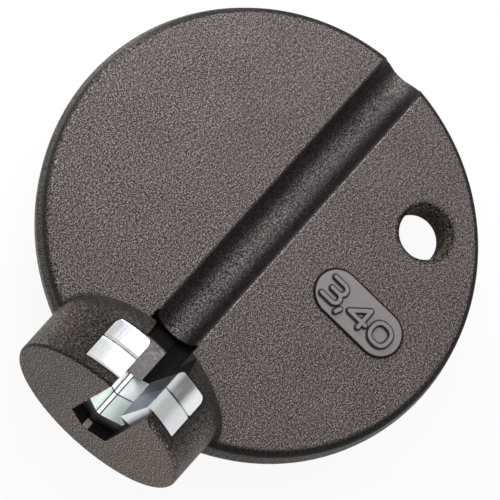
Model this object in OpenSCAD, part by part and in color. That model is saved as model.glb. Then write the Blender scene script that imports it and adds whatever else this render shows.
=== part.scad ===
// Spoke wrench: a moulded finger disc with a stubby head that holds two stacked steel jaw plates.
// X runs along the spoke from the head's end face, Z is the normal of the disc's marked face.
// The origin is on the nipple's axis in the plane of the head's end face. Units are millimetres.

/* [Disc] */
// Outer diameter of the finger disc
disc_d = 40; // [34:0.5:48]
// Thickness of the disc
disc_t = 3.65; // [2.5:0.05:5]
// Draft of each half of the rim, in degrees from the disc's axis
rim_draft = 13; // [0:1:25]
// Height of the straight band at the mould's parting line
rim_band = 0.25; // [0.1:0.05:1]
// Rounding where the rim meets the faces
rim_edge_r = 0.65; // [0.1:0.05:1]

/* [Head] */
// Diameter of the head
head_d = 17.2; // [14:0.1:20]
// Length of the head along the spoke
head_l = 8.1; // [7:0.1:12]
// How far the head's end face stands out from the disc's rim
head_reach = 2.6; // [1:0.05:6]
// Depth of the head's axis below the disc's marked face
head_drop = 0.6; // [0:0.05:2]
// Rounding of the edge round the end face
head_front_r = 0.25; // [0.1:0.05:1]
// Rounding of the head's rear shoulder
head_rear_r = 3.5; // [1:0.1:5]

/* [Jaw plates] */
// Width across flats of the nipple
nipple_w = 3.4; // [3.2:0.05:4.5]
// Clearance of the jaws over the nipple, both sides together
nipple_clear = 0.05; // [0.02:0.01:0.2]
// Thickness of the front jaw plate
front_plate_t = 2.4; // [1.5:0.1:3]
// Thickness of the rear jaw plate
rear_plate_t = 2.2; // [1.5:0.1:3]
// Width over both ears of a jaw plate
plate_w = 10; // [8:0.1:12]
// Metal left under the nipple's seat
plate_web = 2.9; // [1.5:0.1:3.5]
// Width of the nipple's seat over its two cut-off side corners
seat_w = 4.1; // [3.8:0.05:4.6]
// Width of the flat strip in the seat's bottom corner
seat_strip_w = 0.4; // [0.1:0.05:1]
// Width of the neck that lets the spoke through to the seat
neck_w = 2.5; // [2.2:0.05:3]
// Width of the mouth between the ears, at the head's round surface
mouth_w = 3.45; // [2.6:0.05:4]
// How far the ears stand out from the head's round surface
ear_proud = 0.06; // [0:0.02:0.3]
// Rounding of the ears' outer edges
ear_edge_r = 0.3; // [0.1:0.05:0.8]
// Rounding of the plates' lower corners
plate_corner_r = 1; // [0.3:0.1:2]
// Rounding of the rear plate's upright rear corners
ear_corner_r = 0.8; // [0.2:0.1:1]
// Gap between the plates and the sides of their pocket
pocket_clear = 0.05; // [0.02:0.01:0.2]
// Plastic left between the end face and the front jaw plate
front_wall = 0.95; // [0.6:0.05:2]

/* [Slot] */
// Width of the slot through the front wall
slot_w = 4; // [3.5:0.05:5]
// How far the middle of the slot lies beside the nipple's axis, towards the badge
slot_shift = 0.25; // [0:0.05:0.5]
// Depth of the front wall's slot flanks below the nipple's axis
slot_depth = 3.6; // [3:0.05:4.5]
// Fall of the slot's flanks to the middle strip
slot_fall = 1.15; // [0.3:0.05:2]
// Width of the strip in the middle of the slot's floor
slot_strip_w = 0.6; // [0.2:0.05:1]
// Width of the channel behind the plates
channel_w = 4.7; // [4.5:0.05:5.5]
// Depth of the channel behind the plates, from the disc's face to the middle strip
channel_depth = 2.95; // [2.7:0.05:3.2]
// Width of the strip in the middle of the channel's floor
channel_strip_w = 2.05; // [0.5:0.05:2.5]
// Distance from the end face to the end of the channel
channel_end = 10.7; // [9:0.1:12]

/* [Groove] */
// Width of the round-bottomed spoke groove
groove_w = 4.2; // [3:0.05:4.6]
// Rounding of the groove's upper edges
groove_edge_r = 0.12; // [0.05:0.01:0.4]

/* [Lanyard hole] */
// Diameter of the hole
hole_d = 4.5; // [3:0.1:6]
// Distance from the disc's centre to the hole's centre
hole_reach = 14.7; // [12:0.1:16]
// Direction of the hole from the spoke's line, in degrees
hole_angle = 46; // [30:1:60]
// Rounding of the hole's edge at the marked face
hole_edge_r = 0.65; // [0.2:0.05:0.9]
// Rounding of the hole's edge at the back
hole_back_r = 0.2; // [0.1:0.05:0.5]

/* [Size badge] */
// Length of the badge
badge_l = 9.2; // [6:0.1:11]
// Width of the badge
badge_w = 4.2; // [3:0.1:6]
// Height of the badge over the disc's face
badge_h = 0.15; // [0.05:0.05:0.5]
// Distance from the spoke's line to the badge's centre
badge_reach = 10.8; // [8:0.1:12]
// Distance from the disc's centre to the badge's centre along the spoke's line
badge_shift = 0.5; // [-3:0.1:3]

/* [Hidden] */
$fn = 96;
half_share = 0.5;
cut_over = 1;
quarter_turn = 90;
disc_r = disc_d * half_share;
disc_mid = disc_t * half_share;
disc_x = disc_r + head_reach;
band_mid = rim_band * half_share;
edge_z = disc_mid - rim_edge_r;
edge_x = disc_r - (edge_z - band_mid) * tan(rim_draft) - rim_edge_r / cos(rim_draft);
edge_wall_x = edge_x + rim_edge_r * cos(rim_draft);
edge_wall_z = edge_z + rim_edge_r * sin(rim_draft);
head_r = head_d * half_share;
jaw_gap = nipple_w + nipple_clear;
seat_corner = jaw_gap * sqrt(half_share);
seat_mid = seat_w * half_share;
seat_side_z = seat_corner - seat_mid;
strip_mid = seat_strip_w * half_share;
seat_low_z = strip_mid - seat_corner;
neck_mid = neck_w * half_share;
neck_z = seat_corner - neck_mid;
mouth_mid = mouth_w * half_share;
mouth_z = head_r - head_drop;
mouth_flare = atan((mouth_mid - neck_mid) / (mouth_z - neck_z));
mouth_top_mid = neck_mid + (head_d - neck_z) * tan(mouth_flare);
plate_mid = plate_w * half_share;
plate_low_z = seat_low_z - plate_web;
ear_r = head_r + ear_proud;
slot_mid = slot_w * half_share;
slot_low_z = -slot_depth - slot_fall;
slot_strip_mid = slot_strip_w * half_share;
channel_mid = channel_w * half_share;
channel_strip_mid = channel_strip_w * half_share;
pocket_l = front_plate_t + rear_plate_t + pocket_clear;
rear_plate_x = front_wall + front_plate_t;
pocket_end = front_wall + pocket_l;
groove_r = groove_w * half_share;
lip_y = groove_r + groove_edge_r;
hole_r = hole_d * half_share;
badge_mid = badge_w * half_share;
badge_straight = badge_l - badge_w;
badge_sink = 0.5;

// Half of the disc's section: drafted rim halves that meet at the parting band
module disc_profile() {
    polygon([
        [0, -disc_mid],
        [edge_x, -disc_mid],
        [edge_wall_x, -edge_wall_z],
        [disc_r, -band_mid],
        [disc_r, band_mid],
        [edge_wall_x, edge_wall_z],
        [edge_x, disc_mid],
        [0, disc_mid]
    ]);
    translate([edge_x, edge_z]) circle(r = rim_edge_r);
    translate([edge_x, -edge_z]) circle(r = rim_edge_r);
}

module disc() {
    translate([disc_x, 0, -disc_mid]) rotate_extrude() disc_profile();
}

// Half of the head's section, radius first, then distance from the end face
module head_profile() {
    translate([0, head_front_r]) square([head_r, head_l - head_front_r - head_rear_r]);
    square([head_r - head_front_r, head_front_r]);
    translate([head_r - head_front_r, head_front_r]) circle(r = head_front_r);
    translate([0, head_l - head_rear_r]) square([head_r - head_rear_r, head_rear_r]);
    translate([head_r - head_rear_r, head_l - head_rear_r]) circle(r = head_rear_r);
}

module along_spoke() {
    rotate([0, quarter_turn, 0]) children();
}

module head() {
    translate([0, 0, -head_drop]) along_spoke() rotate_extrude() head_profile();
}

// Pushes a section drawn in Y and Z along X
module section(start, length) {
    translate([start, 0, 0])
        rotate([quarter_turn, 0, quarter_turn])
            linear_extrude(height = length) children();
}

// Section of a slot that is open at the top, with flanks that fall to a strip at the given height
module slot_profile(wall_mid, low_z, floor_mid) {
    polygon([
        [-wall_mid, head_d],
        [-wall_mid, low_z + slot_fall],
        [-floor_mid, low_z],
        [floor_mid, low_z],
        [wall_mid, low_z + slot_fall],
        [wall_mid, head_d]
    ]);
}

module front_slot() {
    section(-cut_over, front_wall + 2 * cut_over)
        translate([-slot_shift, 0]) slot_profile(slot_mid, slot_low_z, slot_strip_mid);
}

module channel() {
    section(pocket_end - cut_over, channel_end - pocket_end + cut_over)
        slot_profile(channel_mid, -channel_depth, channel_strip_mid);
}

// Outline of a plate without its slot, grown by the given gap on the sides only
module plate_outline(gap) {
    translate([-plate_mid - gap, plate_low_z + plate_corner_r])
        square([plate_w + 2 * gap, head_d]);
    translate([-plate_mid - gap + plate_corner_r, plate_low_z])
        square([plate_w + 2 * gap - 2 * plate_corner_r, head_d]);
    for (side = [-1, 1])
        translate([side * (plate_mid + gap - plate_corner_r), plate_low_z + plate_corner_r])
            circle(r = plate_corner_r);
}

// What comes off an upright corner, drawn with the rounding's centre at the origin
module corner_waste(corner_r) {
    difference() {
        square(corner_r + cut_over);
        circle(r = corner_r);
    }
}

// Cuts the rounding off both outer corners of a plate or its pocket, whose rear face is at the given X
module outer_corner_waste(rear_x, side_y, corner_r) {
    for (flip = [0, 1]) mirror([0, flip, 0])
        translate([rear_x - corner_r, side_y - corner_r, -head_d])
            linear_extrude(height = 2 * head_d) corner_waste(corner_r);
}

module pocket() {
    difference() {
        section(front_wall, pocket_l) plate_outline(pocket_clear);
        outer_corner_waste(pocket_end, plate_mid + pocket_clear, ear_corner_r + pocket_clear);
    }
}

// Section of the groove: a half round floor, and upper edges rounded back into the face
module groove_profile() {
    difference() {
        translate([-lip_y, -groove_edge_r]) square([2 * lip_y, groove_edge_r + cut_over]);
        for (side = [-1, 1])
            translate([side * lip_y, -groove_edge_r]) circle(r = groove_edge_r);
    }
    translate([0, -groove_edge_r]) circle(r = groove_r);
}

module groove() {
    section(head_l, disc_d) groove_profile();
}

// What a rounded edge takes off beside the hole, drawn with the face at the bottom
module hole_edge(edge_r) {
    difference() {
        square([hole_r + edge_r, edge_r]);
        translate([hole_r + edge_r, edge_r]) circle(r = edge_r);
    }
}

// Half of the lanyard hole's section, from the back to the marked face
module hole_profile() {
    square([hole_r, disc_t + cut_over]);
    hole_edge(hole_back_r);
    translate([0, disc_t]) mirror([0, 1]) hole_edge(hole_edge_r);
}

module lanyard_hole() {
    translate([
        disc_x + hole_reach * cos(hole_angle),
        -hole_reach * sin(hole_angle),
        -disc_t
    ]) rotate_extrude() hole_profile();
}

module badge() {
    translate([disc_x + badge_shift, -badge_reach, -badge_sink])
        linear_extrude(height = badge_h + badge_sink) {
            translate([-badge_mid, -badge_straight * half_share]) square([badge_w, badge_straight]);
            for (side = [-1, 1])
                translate([0, side * badge_straight * half_share]) circle(r = badge_mid);
        }
}

module body() {
    color([0.33, 0.31, 0.30])
        difference() {
            union() {
                disc();
                head();
                badge();
            }
            front_slot();
            pocket();
            channel();
            groove();
            lanyard_hole();
        }
}

// Section of one plate through the head's axis: radius first, rounded at the ears' edges
module ear_profile(plate_t) {
    square([ear_r - ear_edge_r, plate_t]);
    translate([0, ear_edge_r]) square([ear_r, plate_t - 2 * ear_edge_r]);
    for (side = [0, 1])
        translate([ear_r - ear_edge_r, ear_edge_r + side * (plate_t - 2 * ear_edge_r)])
            circle(r = ear_edge_r);
}

// The plate's keyhole: a mouth that narrows to the spoke's neck, then a square seat on its corner
module keyhole() {
    polygon([
        [-mouth_top_mid, head_d],
        [-neck_mid, neck_z],
        [-seat_mid, seat_side_z],
        [-seat_mid, -seat_side_z],
        [-strip_mid, seat_low_z],
        [strip_mid, seat_low_z],
        [seat_mid, -seat_side_z],
        [seat_mid, seat_side_z],
        [neck_mid, neck_z],
        [mouth_top_mid, head_d]
    ]);
}

// A stamped plate: the nipple's four flats bear on the four flanks of the seat
module jaw_plate(start, plate_t) {
    translate([start, 0, 0])
        intersection() {
            translate([0, 0, -head_drop]) along_spoke() rotate_extrude() ear_profile(plate_t);
            section(0, plate_t)
                difference() {
                    plate_outline(0);
                    keyhole();
                }
        }
}

// Rounds the rear corners of both ears, outside down the whole plate and inside down the flared mouth
module round_rear_corners(rear_x) {
    difference() {
        children();
        outer_corner_waste(rear_x, plate_mid, ear_corner_r);
        for (flip = [0, 1]) mirror([0, flip, 0])
            translate([rear_x - ear_corner_r, neck_mid, neck_z]) rotate([-mouth_flare, 0, 0])
                translate([0, ear_corner_r, -ear_corner_r])
                    linear_extrude(height = head_d) mirror([0, 1]) corner_waste(ear_corner_r);
    }
}

module front_jaw_plate() {
    color([0.80, 0.82, 0.82]) jaw_plate(front_wall, front_plate_t);
}

module rear_jaw_plate() {
    color([0.74, 0.76, 0.76])
        round_rear_corners(rear_plate_x + rear_plate_t) jaw_plate(rear_plate_x, rear_plate_t);
}

body();
front_jaw_plate();
rear_jaw_plate();
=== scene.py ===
import bpy
import numpy as np
from mathutils import Matrix, Vector


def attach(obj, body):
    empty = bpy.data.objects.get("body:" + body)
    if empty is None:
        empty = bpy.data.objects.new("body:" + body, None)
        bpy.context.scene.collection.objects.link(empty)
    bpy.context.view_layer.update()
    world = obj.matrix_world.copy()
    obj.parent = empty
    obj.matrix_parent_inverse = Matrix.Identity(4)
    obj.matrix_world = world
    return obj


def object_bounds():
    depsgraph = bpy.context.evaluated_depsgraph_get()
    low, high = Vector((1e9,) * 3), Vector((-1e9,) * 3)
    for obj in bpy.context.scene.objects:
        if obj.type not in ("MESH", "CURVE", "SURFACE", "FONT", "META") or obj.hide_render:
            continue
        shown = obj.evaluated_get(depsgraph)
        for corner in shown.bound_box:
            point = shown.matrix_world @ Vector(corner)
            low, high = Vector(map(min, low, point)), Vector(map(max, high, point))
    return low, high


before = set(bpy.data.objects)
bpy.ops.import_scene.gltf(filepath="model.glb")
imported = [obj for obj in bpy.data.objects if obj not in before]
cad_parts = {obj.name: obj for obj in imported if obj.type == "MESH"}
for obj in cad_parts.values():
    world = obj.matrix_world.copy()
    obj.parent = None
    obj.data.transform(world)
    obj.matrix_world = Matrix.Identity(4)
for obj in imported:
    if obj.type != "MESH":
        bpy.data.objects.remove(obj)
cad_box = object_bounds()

# The viewpoint: looking down on the marked face, tipped towards the head's end face.
# The picture is taken from far off with a long lens, so the disc is nearly a true ellipse.
# Lengths in this file are in millimetres until they are put into Blender.
MILLIMETRE = 0.001
tilt = np.radians(21.65)
picture_turn = np.radians(210.5)
spoke_turn = np.radians(163.5)
camera_distance = 560.0
picture_span = 43.06
sensor_width = 36.0
sight_point = np.array([22.45, 0.0, -1.825])
sight_right = -0.612
sight_up = -1.231
face_normal = np.array([0.0, 0.0, 1.0])
towards_head = np.array([np.cos(spoke_turn), np.sin(spoke_turn), 0.0])
sideways = np.cross(face_normal, towards_head)
tipped = np.cos(tilt) * towards_head - np.sin(tilt) * face_normal
camera_back = np.sin(tilt) * towards_head + np.cos(tilt) * face_normal
camera_right = np.cos(picture_turn) * tipped - np.sin(picture_turn) * sideways
camera_up = np.sin(picture_turn) * tipped + np.cos(picture_turn) * sideways
aim = sight_point + sight_right * camera_right + sight_up * camera_up
camera_place = (aim + camera_distance * camera_back) * MILLIMETRE
camera_axes = np.stack([camera_right, camera_up, camera_back], axis=1)
camera_turn = Matrix(camera_axes.tolist()).to_4x4()
camera_data = bpy.data.cameras.new("camera")
camera_data.sensor_width = sensor_width
camera_data.lens = sensor_width * camera_distance / picture_span
camera_data.clip_start = 0.01
camera_data.clip_end = 10.0
camera = bpy.data.objects.new("camera", camera_data)
bpy.context.scene.collection.objects.link(camera)
camera.matrix_world = Matrix.Translation(Vector(camera_place.tolist())) @ camera_turn
bpy.context.scene.camera = camera


# The body: one moulding of dark grey plastic, the disc and the head together.
# The mould is spark eroded, so the disc's faces come out with a fine grain that scatters light,
# while the head, the rim and the spoke groove are smoother and look darker.
class Value:
    """A shader socket that can be written in sums and products: each operator adds a Math node."""

    def __init__(self, tree, socket):
        self.tree = tree
        self.socket = socket

    def node(self, kind, settings=None, out=0, **inputs):
        """One output of a new node of this kind.

        The settings are set first, then the inputs, by name or as i0, i1.
        """
        made = self.tree.nodes.new(kind)
        for name, setting in (settings or {}).items():
            setattr(made, name, setting)
        for name, value in inputs.items():
            numbered = name[0] == "i" and name[1:].isdigit()
            target = made.inputs[int(name[1:]) if numbered else name.replace("_", " ")]
            if isinstance(value, Value):
                self.tree.links.new(value.socket, target)
            else:
                target.default_value = value
        return Value(self.tree, made.outputs[out])

    def maths(self, operation, first, second=0.0):
        return self.node("ShaderNodeMath", {"operation": operation}, i0=first, i1=second)

    def __add__(self, other):
        return self.maths("ADD", self, other)

    def __radd__(self, other):
        return self.maths("ADD", other, self)

    def __sub__(self, other):
        return self.maths("SUBTRACT", self, other)

    def __rsub__(self, other):
        return self.maths("SUBTRACT", other, self)

    def __mul__(self, other):
        return self.maths("MULTIPLY", self, other)

    def __rmul__(self, other):
        return self.maths("MULTIPLY", other, self)

    def size(self):
        return self.maths("ABSOLUTE", self)

    def at_least(self, lowest):
        return self.maths("MAXIMUM", self, lowest)

    def at_most(self, highest):
        return self.maths("MINIMUM", self, highest)

    def ramp(self, low, high):
        """A smooth step: 0 below low, 1 above high; with low over high it falls instead."""
        settings = {"interpolation_type": "SMOOTHSTEP"}
        if low < high:
            return self.node("ShaderNodeMapRange", settings, Value=self, From_Min=low, From_Max=high)
        return 1.0 - self.node("ShaderNodeMapRange", settings, Value=self, From_Min=high, From_Max=low)

    def blend(self, first, second):
        """The colour first where this mask is 0 and second where it is 1."""
        return self.node("ShaderNodeMix", {"data_type": "RGBA"}, out=2, i0=self, i6=first, i7=second)

    def scaled(self, factor):
        """This colour or vector times a number."""
        return self.node("ShaderNodeVectorMath", {"operation": "SCALE"}, i0=self, Scale=factor)

    def noise(self, scale, detail=2.0, roughness=0.5):
        """Noise at this point, of about one swing per 1/scale of the point's unit."""
        return self.node(
            "ShaderNodeTexNoise", {"noise_dimensions": "3D"},
            Vector=self, Scale=scale, Detail=detail, Roughness=roughness,
        )

    def bump(self, depth):
        """A normal from this height, where 1 stands for the depth in millimetres."""
        return self.node("ShaderNodeBump", Strength=1.0, Distance=depth * MILLIMETRE, Height=self)


def distance(first, second):
    """The length of a flat vector from its two parts."""
    return first.maths("SQRT", first * first + second * second)


def new_material(name):
    """A material with one Principled shader.

    Gives the material, the shader, and the surface's point in millimetres.
    """
    material = bpy.data.materials.new(name)
    material.use_nodes = True
    tree = material.node_tree
    shader = tree.nodes["Principled BSDF"]
    coordinates = tree.nodes.new("ShaderNodeTexCoord")
    point = Value(tree, coordinates.outputs["Object"]).scaled(1.0 / MILLIMETRE)
    return material, shader, point


def parts_of(point):
    """The point's X, Y and Z as three values."""
    return [point.node("ShaderNodeSeparateXYZ", out=axis, i0=point) for axis in range(3)]


def connect(shader, **sockets):
    """Links values to the shader's sockets by name."""
    for name, value in sockets.items():
        value.tree.links.new(value.socket, shader.inputs[name.replace("_", " ")])


# Along is X, from the head's end face to the far rim, across is Y and height is Z.
plastic, plastic_shader, spot = new_material("grained_plastic")
along, across, height = parts_of(spot)
# Near blacks: the first for dark seams and for painted shade in corners and creases, the second for painted
# shade at edges.
seam_and_shade_black = (0.010, 0.009, 0.009, 1.0)
edge_shade_black = (0.012, 0.010, 0.010, 1.0)

# The disc's rounded edge is painted dark as shade, and its grey side carries the mould's parting line,
# painted lighter as a highlight.
# The painted edge shade is darkest on the head's half, and its line is thinner on the side away from the
# badge.
# A dark line at the outline, also painted shade, fades out on the head's +Y side.
disc_x = 22.6
disc_r = 20.0
parting_z = -1.825
parting_half = 0.22
outline_shade_depth = 0.95
far_edge_shade_depth = 0.15
face_grey = (0.130, 0.111, 0.107, 1.0)
rim_grey = (0.076, 0.068, 0.058, 1.0)
parting_highlight_grey = (0.150, 0.130, 0.126, 1.0)
from_disc_axis = distance(along - disc_x, across)
left_side = across.ramp(0.0, 10.0)
head_half = (along - disc_x).ramp(10.0, -3.0)
far_half = (along - disc_x).ramp(-5.0, 15.0)
on_edge = (from_disc_axis - 0.45 * left_side).ramp(disc_r - 1.15, disc_r - 0.7)
on_rim = from_disc_axis.ramp(disc_r - 0.65, disc_r - 0.4)
on_rim = on_rim * (height + 0.3 * left_side).ramp(-0.25, -0.7)
on_parting = from_disc_axis.ramp(disc_r - 0.25, disc_r - 0.15)
on_parting = on_parting * (height - parting_z).size().ramp(parting_half, 0.1)
outline_shade = from_disc_axis.ramp(disc_r - 0.86, disc_r - 0.68)
outline_shade = outline_shade * (outline_shade_depth - outline_shade_depth * left_side * head_half)
edge_shade_depth = on_edge * (far_edge_shade_depth + (1.0 - far_edge_shade_depth) * head_half)
rim_colour = on_parting.blend(on_rim.blend(edge_shade_black, rim_grey), parting_highlight_grey)

# The lanyard hole's rounded mouth is painted dark and its wall brown, both darker than the face as painted
# shade in the hole.
hole_x = 32.81
hole_y = -10.57
hole_r = 2.25
hole_mouth_shade = (0.024, 0.021, 0.021, 1.0)
hole_wall_shade_brown = (0.060, 0.052, 0.038, 1.0)
from_hole = distance(along - hole_x, across - hole_y)
in_hole = from_hole.ramp(hole_r + 0.7, hole_r + 0.2)
hole_shade_colour = from_hole.ramp(hole_r + 0.03, hole_r + 0.25).blend(hole_wall_shade_brown, hole_mouth_shade)

# The head is a drum with a flat end face and a round shoulder behind.
# Its top and shoulder are painted dark as shade, its -Y side is painted lighter as light, and the edge
# round the end face is painted dark as shade, most on the +Y side; the end face is darker towards +Y.
head_axis_z = -0.6
head_r = 8.6
head_end = 8.1
shoulder_r = 3.5
end_grey = (0.098, 0.079, 0.067, 1.0)
drum_grey = (0.074, 0.062, 0.054, 1.0)
drum_top_shade_grey = (0.029, 0.024, 0.020, 1.0)
drum_right_lit_grey = (0.096, 0.080, 0.072, 1.0)
shoulder_shade_grey = (0.020, 0.017, 0.015, 1.0)
from_head_axis = distance(across, height - head_axis_z)
past_shoulder = (along - (head_end - shoulder_r)).at_least(0.0)
shoulder_square = (shoulder_r ** 2 - past_shoulder * past_shoulder).at_least(0.0)
head_outline = past_shoulder.maths("SQRT", shoulder_square) + (head_r - shoulder_r)
on_head = (from_head_axis - head_outline).ramp(0.12, 0.05)
on_head = on_head * along.ramp(head_end + 0.08, head_end + 0.03)
off_end = along.ramp(0.05, 0.4)
on_shoulder = past_shoulder.ramp(0.0, 1.6)
end_edge_shade = from_head_axis.ramp(head_r - 0.22, head_r - 0.12) * along.ramp(0.34, 0.22)
end_edge_shade = end_edge_shade * (0.3 + 0.7 * across.ramp(-3.0, 1.0))
drum_colour = height.ramp(1.0, 6.2).blend(drum_grey, drum_top_shade_grey)
drum_colour = across.ramp(-5.0, -8.0).blend(drum_colour, drum_right_lit_grey)
end_colour = (across.ramp(0.0, 5.0) * 0.9).blend(end_grey, drum_grey)
head_colour = on_shoulder.blend(off_end.blend(end_colour, drum_colour), shoulder_shade_grey)
head_colour = end_edge_shade.blend(head_colour, edge_shade_black)

# The corner between the head's shoulder and the disc's face is painted dark as shade, widest beside the
# groove.
badge_side = across.ramp(1.0, -2.0)
past_flat = (across.size() - (head_r - shoulder_r)).at_least(0.0)
foot_reach = 0.4 + 0.35 * badge_side + 1.2 * across.size().ramp(6.6, 2.4)
head_foot_shade = (distance(past_shoulder, past_flat) - shoulder_r - foot_reach).ramp(0.05, -0.2)
head_foot_shade = head_foot_shade * height.ramp(0.3, 0.1) * height.ramp(-0.3, -0.1) * along.ramp(3.0, 4.0)
head_foot_shade = head_foot_shade * (0.55 + 0.35 * badge_side)

# The slot before the jaws and the channel behind them are painted black as shade, with a painted lit strip
# on each floor.
slot_half = 2.0
slot_shift = 0.25
slot_low_z = -4.8
slot_strip_half = 0.3
channel_half = 2.35
channel_end = 10.7
channel_low_z = -2.85
channel_strip_half = 1.025
slot_shade_black = (0.018, 0.014, 0.014, 1.0)
channel_shade_black = (0.008, 0.007, 0.007, 1.0)
slot_lit_strip_grey = (0.800, 0.730, 0.730, 1.0)
channel_lit_strip_grey = (0.460, 0.415, 0.420, 1.0)
beside_slot = (across + slot_shift).size()
behind_jaws = along.ramp(4.9, 5.1)
in_front_slot = beside_slot.ramp(slot_half + 0.04, slot_half + 0.02) * along.ramp(2.0, 1.5)
in_channel = across.size().ramp(channel_half + 0.04, channel_half + 0.02) * behind_jaws
in_channel = in_channel * along.ramp(channel_end + 0.06, channel_end + 0.02)
in_slot = in_front_slot.at_least(in_channel) * along.ramp(0.02, 0.06)
in_slot = in_slot * height.ramp(slot_low_z - 0.1, slot_low_z)
in_slot = in_slot * from_head_axis.ramp(head_r - 0.02, head_r - 0.1)
lit_slot_strip = beside_slot.ramp(slot_strip_half + 0.02, slot_strip_half - 0.03)
lit_slot_strip = lit_slot_strip * height.ramp(slot_low_z + 0.2, slot_low_z + 0.1)
lit_slot_strip = lit_slot_strip * along.ramp(0.02, 0.1) * along.ramp(0.9, 0.8)
lit_channel_strip = across.size().ramp(channel_strip_half + 0.035, channel_strip_half - 0.035)
lit_channel_strip = lit_channel_strip * height.ramp(channel_low_z + 0.15, channel_low_z)
lit_channel_strip = lit_channel_strip * along.ramp(9.5, 9.2) * behind_jaws
slot_shade_colour = in_front_slot.blend(channel_shade_black, slot_shade_black)
slot_shade_colour = lit_channel_strip.blend(slot_shade_colour, channel_lit_strip_grey)
slot_shade_colour = lit_slot_strip.blend(slot_shade_colour, slot_lit_strip_grey)

# The spoke groove's walls are painted dark as shade and its round floor lighter as painted light; the lip
# beside the walls is painted dark as shade, and a thin painted highlight runs on the lip by the badge.
groove_half = 2.2
groove_low_z = -2.5
lip_half = 2.34
groove_lit_floor_grey = (0.140, 0.122, 0.122, 1.0)
groove_left_shade_black = (0.027, 0.023, 0.024, 1.0)
groove_right_shade_black = (0.013, 0.011, 0.012, 1.0)
lip_highlight_grey = (0.230, 0.208, 0.206, 1.0)
behind_head = along.ramp(head_end - 0.1, head_end)
in_groove = across.size().ramp(groove_half + 0.04, groove_half) * behind_head
in_groove = in_groove * height.ramp(-0.05, -0.12) * height.ramp(groove_low_z - 0.1, groove_low_z)
on_lip = across.size().ramp(lip_half + 0.02, lip_half - 0.08) * across.size().ramp(2.0, 2.1)
on_lip = on_lip * behind_head * height.ramp(-0.5, -0.3) * height.ramp(0.08, 0.04)
lit_lip = (across + lip_half).size().ramp(0.1, 0.03) * height.ramp(-0.2, -0.1)
lit_lip = lit_lip * along.ramp(head_end + 3.0, head_end + 4.0) * (1.0 - on_edge)
on_wall = across.ramp(-0.3, 1.1).at_least(across.ramp(-0.3, -1.8))
groove_wall_shade_black = across.ramp(-0.5, 0.5).blend(groove_right_shade_black, groove_left_shade_black)
groove_shade_colour = on_wall.blend(groove_lit_floor_grey, groove_wall_shade_black)

# Fine seams run round the jaw plates' pocket on the head's top, and round the size badge.
pocket_half = 5.05
pocket_mid = 3.275
pocket_half_length = 2.325
badge_x = disc_x + 0.5
badge_y = -10.8
badge_half_straight = 2.5
badge_r = 2.1
from_pocket = (across.size() - pocket_half).at_least((along - pocket_mid).size() - pocket_half_length)
pocket_seam = from_pocket.size().ramp(0.17, 0.07) * on_head * (1.0 - in_slot) * height.ramp(1.0, 2.0)
past_badge_end = ((across - badge_y).size() - badge_half_straight).at_least(0.0)
from_badge = distance(along - badge_x, past_badge_end) - badge_r
badge_seam = from_badge.size().ramp(0.2, 0.08) * height.ramp(-0.2, -0.1)

# The tones lie over each other, from the disc's face to the finest seams.
colour = edge_shade_depth.at_least(outline_shade).blend(face_grey, rim_colour)
colour = in_hole.blend(colour, hole_shade_colour)
colour = on_head.blend(colour, head_colour)
colour = head_foot_shade.at_least(pocket_seam * 0.8).blend(colour, seam_and_shade_black)
colour = in_groove.blend(colour, groove_shade_colour)
colour = (on_lip * 0.85).blend(colour, groove_wall_shade_black)
colour = lit_lip.blend(colour, lip_highlight_grey)
colour = in_slot.blend(colour, slot_shade_colour)
colour = badge_seam.blend(colour, seam_and_shade_black)

# The grain is fine flecks on a coarser grain, strongest on the head's end and weakest in the slot.
# The noises swing about a half, and the colour is scaled by the square of the shade.
NOISE_MIDDLE = 0.5
face_fleck = 4.4
far_fleck_loss = 1.1
drum_fleck = 2.5
end_fleck = 5.5
slot_fleck_loss = 3.9
hole_fleck = 4.0
darkest_shade = 0.2
grain = spot.noise(3.6, detail=2.0, roughness=0.55)
fleck = spot.noise(8.0, detail=1.0, roughness=0.6)
mottle = spot.noise(0.25, detail=2.0)
smooth = on_head.at_least(in_groove).at_least(on_edge * head_half)
head_fleck = on_head * (drum_fleck + end_fleck * (1.0 - off_end)) * (1.0 - in_slot)
fleck_depth = face_fleck - far_fleck_loss * far_half + head_fleck
fleck_depth = fleck_depth - slot_fleck_loss * in_slot + hole_fleck * in_hole
shade = 1.0 + (fleck - NOISE_MIDDLE) * fleck_depth
shade = shade + (grain - NOISE_MIDDLE) * (1.2 - 0.8 * smooth) + (mottle - NOISE_MIDDLE) * 0.2
shade = shade.at_least(darkest_shade)
rough = 0.6 - 0.12 * smooth + 0.4 * in_hole + (fleck - NOISE_MIDDLE) * 0.3
relief = ((grain + fleck * 0.5) * (1.0 - 0.5 * smooth)).bump(0.03)
connect(plastic_shader, Base_Color=colour.scaled(shade * shade), Roughness=rough, Normal=relief)
plastic_shader.inputs["Specular IOR Level"].default_value = 0.12
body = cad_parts["body"]
body.data.materials.clear()
body.data.materials.append(plastic)

# The size badge: the moulded skin of the oval panel, with the nipple's size in raised plain numerals.
# In the mould it is an insert that is changed for each size, which leaves a fine seam round it.
badge_top = 0.18
badge_foot = 0.04
badge_gap = 0.02
badge_edge_round = 0.1
numeral_rise = 0.2
stroke_half = 0.17
stroke_draft = 0.13
badge_columns = 330
badge_rows = 150


def arc(centre, radius, start, end, count=25):
    """Points on a circle's arc, from one angle in degrees to another."""
    angle = np.radians(np.linspace(start, end, count))
    return np.stack([centre[0] + radius * np.cos(angle), centre[1] + radius * np.sin(angle)], axis=1)


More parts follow.
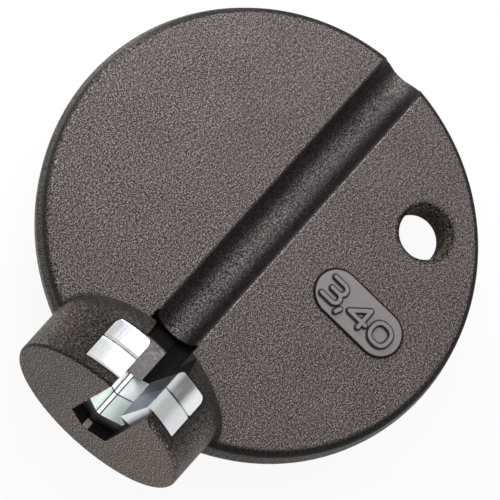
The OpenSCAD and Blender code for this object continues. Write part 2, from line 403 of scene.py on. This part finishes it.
def round_ring(centre, half_wide, half_tall, power, count=73):
    """Points on a superellipse: |s/a|^p + |h/b|^p = 1."""
    angle = np.linspace(0.0, 2.0 * np.pi, count)
    flat = np.sign(np.cos(angle)) * np.abs(np.cos(angle)) ** (2.0 / power)
    steep = np.sign(np.sin(angle)) * np.abs(np.sin(angle)) ** (2.0 / power)
    return np.stack([centre[0] + half_wide * flat, centre[1] + half_tall * steep], axis=1)


def from_strokes(s, h, strokes):
    """Each point's distance to the nearest straight piece of the strokes.

    The nearest place on a piece is its start plus a share of its step, the share being
    the point's offset along the step over the step's length squared, held between 0 and 1.
    """
    nearest = np.full(s.shape, np.inf)
    for stroke in strokes:
        first = stroke[:-1]
        step = stroke[1:] - first
        for (a, b), (da, db) in zip(first, step):
            share = np.clip(((s - a) * da + (h - b) * db) / (da * da + db * db), 0.0, 1.0)
            nearest = np.minimum(nearest, np.hypot(s - a - share * da, h - b - share * db))
    return nearest


def smooth_step(value):
    """3v^2 - 2v^3 between 0 and 1."""
    held = np.clip(value, 0.0, 1.0)
    return held * held * (3.0 - 2.0 * held)


three = np.concatenate([
    [(-3.58, 0.89)], arc((-2.46, 0.415), 0.475, 90, -90), [(-3.2, -0.06)],
])
three_foot = np.concatenate([
    arc((-2.46, -0.555), 0.495, 90, -90), [(-3.62, -1.05)],
])
comma = np.array([(-1.46, -1.00), (-1.64, -1.45)])
four = np.array([(0.72, -1.07), (0.72, 0.87), (-0.78, -0.5), (1.12, -0.5)])
zero = round_ring((2.62, -0.1), 0.93, 0.96, 2.4)
numerals = [three, three_foot, comma, four, zero]

# A point of the panel is u along it and v across it: the row's half length is the straight
# plus the round end's half chord at that height, and the height over the face is the panel's
# plus a numeral's rise inside the strokes, less a rounded edge at the outline.
u, v = np.meshgrid(np.linspace(-1.0, 1.0, badge_columns), np.linspace(-1.0, 1.0, badge_rows))
panel_r = badge_r - badge_gap
panel_h = v * panel_r
panel_s = u * (badge_half_straight + np.sqrt(np.maximum(panel_r ** 2 - panel_h ** 2, 0.0)))
stroke_distance = from_strokes(panel_s, panel_h, numerals)
rise = smooth_step((stroke_half + stroke_draft - stroke_distance) / stroke_draft)
edge_distance = panel_r - np.hypot(np.maximum(np.abs(panel_s) - badge_half_straight, 0.0), panel_h)
edge_share = np.clip(edge_distance / badge_edge_round, 0.0, 1.0)
edge_fall = np.sqrt(np.clip(1.0 - (1.0 - edge_share) ** 2, 0.0, 1.0))
panel_z = badge_foot + (badge_top - badge_foot) * edge_fall + numeral_rise * rise

# The painted crease shade is 1 in the dark line round each stroke, in the painted shadow strip on its lee
# side, and at the panel's edge.
crease_half = 0.12
crease_soft = 0.06
lee_reach = 0.2
lee_soft = 0.08
lee_start_soft = 0.05
stroke_edge = stroke_half + 0.6 * stroke_draft
stroke_shade_line = smooth_step((crease_half - np.abs(stroke_distance - stroke_edge)) / crease_soft)
lee_distance = from_strokes(panel_s, panel_h + lee_reach, numerals)
lee_shadow = smooth_step((stroke_edge - lee_distance) / lee_soft)
lee_shadow = lee_shadow * smooth_step((stroke_distance - stroke_edge) / lee_start_soft + 0.5)
crease_shade = np.maximum(stroke_shade_line, lee_shadow)
crease_shade = np.maximum(crease_shade, smooth_step(1.0 - edge_distance / crease_half))

panel_points = np.stack([badge_x + panel_h, badge_y - panel_s, panel_z], axis=-1).reshape(-1, 3)
index = np.arange(badge_rows * badge_columns).reshape(badge_rows, badge_columns)
quads = np.stack([index[:-1, :-1], index[1:, :-1], index[1:, 1:], index[:-1, 1:]], axis=-1).reshape(-1, 4)
border = np.concatenate([index[0, :-1], index[:-1, -1], index[-1, :0:-1], index[:0:-1, 0]])
badge_mesh = bpy.data.meshes.new("size_badge")
badge_mesh.from_pydata(
    (panel_points * MILLIMETRE).tolist(), [], [*quads.tolist(), border.tolist()],
)
badge_mesh.polygons.foreach_set("use_smooth", np.ones(len(badge_mesh.polygons), dtype=bool))
crease_shade_layer = badge_mesh.attributes.new("crease_shade", "FLOAT", "POINT")
crease_shade_layer.data.foreach_set("value", crease_shade.reshape(-1).astype(np.float32))
badge_mesh.update()
badge = bpy.data.objects.new("size_badge", badge_mesh)
bpy.context.scene.collection.objects.link(badge)
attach(badge, "root")

panel_grey = (0.285, 0.256, 0.258, 1.0)
panel, panel_shader, panel_spot = new_material("smooth_panel_plastic")
in_crease_shade = panel_spot.node("ShaderNodeAttribute", {"attribute_name": "crease_shade"}, out=2)
panel_grain = panel_spot.noise(5.0, detail=2.0)
# The crease attribute darkens the panel with painted shade.
panel_colour = in_crease_shade.blend(panel_grey, seam_and_shade_black)
panel_colour = panel_colour.scaled(1.0 + (panel_grain - NOISE_MIDDLE) * 0.5)
panel_rough = 0.5 + (panel_grain - NOISE_MIDDLE) * 0.2
connect(panel_shader, Base_Color=panel_colour, Roughness=panel_rough, Normal=panel_grain.bump(0.006))
panel_shader.inputs["Specular IOR Level"].default_value = 0.4
badge_mesh.materials.append(panel)

# The jaw plates: two stamped plates of zinc-plated steel, stacked in the head's pocket.
# Their jaws take the nipple's flats, and their sheared ears come out flush with the head.
# The bright zinc is passivated, which leaves a faint blue and green tint.
zinc_blue = (0.600, 0.612, 0.645, 1.0)
zinc_green = (0.610, 0.625, 0.620, 1.0)
zinc_dull_and_dark_reflection = (0.20, 0.202, 0.206, 1.0)
seat_reflection_green = (0.86, 0.93, 0.89, 1.0)
painted_reflection_white = (0.94, 0.95, 0.97, 1.0)
jaw_shade_blue = (0.34, 0.41, 0.48, 1.0)
jaw_shade_dark = (0.22, 0.26, 0.29, 1.0)
crease_shade_grey = (0.030, 0.028, 0.028, 1.0)
front_x = 0.95
plates_split = 3.35
neck_z = 1.19
seat_strip_half = 0.2
rolling_stretch = (0.16, 1.0, 1.0)
zinc, zinc_shader, zinc_spot = new_material("zinc_plated_steel")
plate_along, plate_across, plate_height = parts_of(zinc_spot)
rolled_spot = zinc_spot.node(
    "ShaderNodeMapping", {"vector_type": "POINT"}, Vector=zinc_spot, Scale=rolling_stretch,
)
streak = rolled_spot.noise(5.5, detail=3.0, roughness=0.6)
rolled = rolled_spot.noise(0.8, detail=1.0)
tint = zinc_spot.noise(0.7, detail=1.0)
pitting = zinc_spot.noise(9.0, detail=2.0)

# The ears are streaked along the rolling; a band beside the jaw is painted dull as a dark reflection, and
# their badge end is painted bright as a reflection.
on_rear = plate_along.ramp(plates_split - 0.03, plates_split + 0.03)
on_ear = distance(plate_across, plate_height - head_axis_z).ramp(head_r - 0.5, head_r - 0.3)
dark_reflection_band = (plate_across + 2.9).size().ramp(1.0, 0.3) * (0.4 + 0.45 * on_rear)
dulling_and_dark_reflection = streak.ramp(0.56, 0.75) * 0.4 + on_rear * rolled.ramp(0.45, 0.6) * 0.25 + dark_reflection_band
bright_reflection_end = plate_across.ramp(-3.5, -4.5) * (0.3 + 0.4 * on_rear)
ear_colour = tint.ramp(0.4, 0.6).blend(zinc_blue, zinc_green)
ear_colour = dulling_and_dark_reflection.at_most(1.0).blend(ear_colour, zinc_dull_and_dark_reflection)
ear_colour = bright_reflection_end.blend(ear_colour, painted_reflection_white)

# Inside, the seat under the neck is painted bright as reflection, green on the front plate and white on the
# rear, with a painted highlight on its lip. Above it the left jaw and the plates' front faces are painted
# white as reflection, and the right jaw blue, darker on the rear plate, as painted shade. A dark split runs
# between the plates; the seat strip's edges and the front face under the seat are painted dark as shade.
in_seat = plate_height.ramp(neck_z + 0.05, neck_z - 0.05) * (1.0 - on_ear)
on_front = plate_along.ramp(front_x + 0.02, front_x + 0.005)
seat_lip_highlight = plate_along.ramp(front_x + 0.17, front_x + 0.09) * in_seat
left_jaw = plate_across.ramp(0.0, 0.2)
strip_edge_shade = (plate_across.size() - seat_strip_half).size().ramp(0.08, 0.03) * in_seat
split_line = (plate_along - plates_split).size().ramp(0.09, 0.03) * (1.0 - on_ear)
jaw_colour = left_jaw.at_least(on_front).blend(on_rear.blend(jaw_shade_blue, jaw_shade_dark), painted_reflection_white)
inner_colour = in_seat.blend(jaw_colour, on_rear.blend(seat_reflection_green, painted_reflection_white))
inner_colour = seat_lip_highlight.blend(inner_colour, painted_reflection_white)
dark_split_and_shade_lines = strip_edge_shade.at_least(split_line).at_least(on_front * in_seat)
inner_colour = dark_split_and_shade_lines.blend(inner_colour, crease_shade_grey)
zinc_colour = on_ear.blend(inner_colour, ear_colour)
zinc_rough = 0.36 - 0.12 * on_ear + streak.ramp(0.4, 0.7) * 0.12 + (pitting - NOISE_MIDDLE) * 0.1
zinc_relief = (streak + pitting * 0.3).bump(0.012)
connect(zinc_shader, Base_Color=zinc_colour, Roughness=zinc_rough, Normal=zinc_relief)
zinc_shader.inputs["Metallic"].default_value = 1.0
for plate in ("front_jaw_plate", "rear_jaw_plate"):
    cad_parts[plate].data.materials.clear()
    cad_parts[plate].data.materials.append(zinc)

# The floor: a pale table top under the head, which keeps a faint shadow.
# The camera and mirror-like surfaces see it as nearly white.
floor_half = 1.0
floor_z = cad_box[0].z
floor_grey = (0.8, 0.8, 0.8, 1.0)
floor_glow_share = 0.88
floor_mesh = bpy.data.meshes.new("floor")
floor_corners = np.array([(-1, -1), (1, -1), (1, 1), (-1, 1)]) * floor_half
floor_mesh.from_pydata([(x, y, floor_z) for x, y in floor_corners], [], [(0, 1, 2, 3)])
floor = bpy.data.objects.new("floor", floor_mesh)
bpy.context.scene.collection.objects.link(floor)


def seen_directly(tree):
    """1 for camera, glossy and transmission rays, 0 for the rays that only light things."""
    path = tree.nodes.new("ShaderNodeLightPath")
    names = ("Is Camera Ray", "Is Glossy Ray", "Is Transmission Ray")
    camera_ray, glossy_ray, clear_ray = [Value(tree, path.outputs[name]) for name in names]
    return (camera_ray + glossy_ray + clear_ray).at_most(1.0)


floor_material, floor_shader = new_material("pale_floor")[:2]
floor_shader.inputs["Base Color"].default_value = floor_grey
floor_shader.inputs["Roughness"].default_value = 0.9
floor_shader.inputs["Specular IOR Level"].default_value = 0.0
floor_tree = floor_material.node_tree
floor_glow = floor_tree.nodes.new("ShaderNodeEmission")
floor_glow.inputs["Strength"].default_value = 1.05
floor_mix = floor_tree.nodes.new("ShaderNodeMixShader")
floor_factor = floor_glow_share * seen_directly(floor_tree)
floor_tree.links.new(floor_factor.socket, floor_mix.inputs[0])
floor_tree.links.new(floor_shader.outputs[0], floor_mix.inputs[1])
floor_tree.links.new(floor_glow.outputs[0], floor_mix.inputs[2])
floor_tree.links.new(floor_mix.outputs[0], floor_tree.nodes["Material Output"].inputs["Surface"])
floor_mesh.materials.append(floor_material)

# The light: an even white room, a soft lamp high over the face, and a smaller one low beside its far rim.
# The camera and mirror-like surfaces see the room as white, while it lights things less.
room_level = 0.35
lamp_target = (20.0, 0.0, 0.0)
world = bpy.data.worlds.new("white_room")
bpy.context.scene.world = world
world.use_nodes = True
room = world.node_tree
room_light = room.nodes["Background"]
room_light.inputs["Color"].default_value = (1.0, 1.0, 1.0, 1.0)
room_strength = room_level + (1.0 - room_level) * seen_directly(room)
room.links.new(room_strength.socket, room_light.inputs["Strength"])


def soft_lamp(name, place, size, energy):
    """A round lamp of this size at this place, turned to the disc, which the camera doesn't see."""
    lamp_data = bpy.data.lights.new(name, "AREA")
    lamp_data.shape = "DISK"
    lamp_data.size = size * MILLIMETRE
    lamp_data.energy = energy
    lamp = bpy.data.objects.new(name, lamp_data)
    lamp.visible_camera = False
    bpy.context.scene.collection.objects.link(lamp)
    lamp_place = Vector(place) * MILLIMETRE
    lamp_aim = Vector(lamp_target) * MILLIMETRE
    lamp_turn = (lamp_aim - lamp_place).to_track_quat("-Z", "Y").to_matrix().to_4x4()
    lamp.matrix_world = Matrix.Translation(lamp_place) @ lamp_turn


soft_lamp("overhead_lamp", (36.0, 28.0, 98.0), 90.0, 0.04)
soft_lamp("near_lamp", (65.0, 52.0, 28.0), 40.0, 0.036)

bpy.context.scene.view_settings.view_transform = "Standard"
